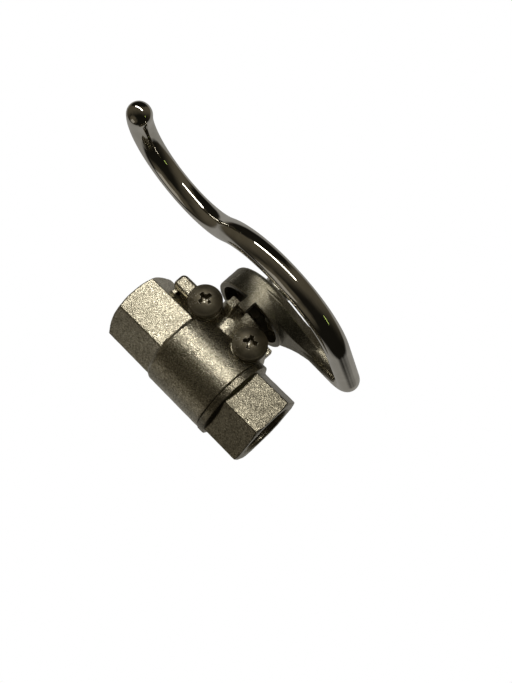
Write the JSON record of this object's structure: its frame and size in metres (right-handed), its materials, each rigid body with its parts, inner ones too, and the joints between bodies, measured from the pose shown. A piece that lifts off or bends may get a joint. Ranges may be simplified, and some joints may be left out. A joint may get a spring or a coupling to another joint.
{
  "type": "ball valve",
  "caption": "Quarter-turn ball valve with hexagonal female pipe ends, a cup-shaped lever hub on a stop-limited stem and a round swan-neck lever rod",
  "frame": {"origin": "centre of the inlet's mouth, on the bore axis", "axes": "+X along the bore from the inlet to the outlet, +Z along the stem from the bore towards the lever, +Y completes the right-handed frame"},
  "size_m": [0.1024, 0.0742, 0.0602],
  "materials": {
    "nickel": "nickel-plated, shot-blasted",
    "ptfe": "smooth",
    "ball_chrome": "polished",
    "steel": "zinc-plated",
    "rubber": "matt",
    "lever_cast": "cast matt at the hub, polished along the rod",
    "black_steel": "blackened"
  },
  "bodies": {
    "casing": {"valve_body": "nickel", "end_cap": "nickel", "body_gasket": "ptfe", "inlet_seat": "ptfe", "outlet_seat": "ptfe", "thrust_washer": "ptfe", "packing_ring_lower": "ptfe", "packing_ring_upper": "ptfe", "gland_follower": "steel", "gland_nut": "nickel", "lug_screws": "steel", "lug_spring_washers": "black_steel"},
    "lever": {"lever": "lever_cast", "stem": "steel", "stem_o_ring_lower": "rubber", "stem_o_ring_upper": "rubber", "lever_spring_washer": "steel", "lever_nut": "steel"},
    "ball": {"ball": "ball_chrome"}
  },
  "joints": [
    {"name": "lever_turn", "type": "hinge", "parent": "casing", "child": "lever", "pos_m": [0.03, 0, 0], "axis": [0, 0, 1], "range_deg": [0, 90]},
    {"name": "ball_turn", "type": "hinge", "parent": "casing", "child": "ball", "pos_m": [0.03, 0, 0], "axis": [0, 0, 1], "range_deg": [0, 90]}
  ],
  "couplings": [
    {"joint": "ball_turn", "follows": "lever_turn", "ratio": 1}
  ]
}
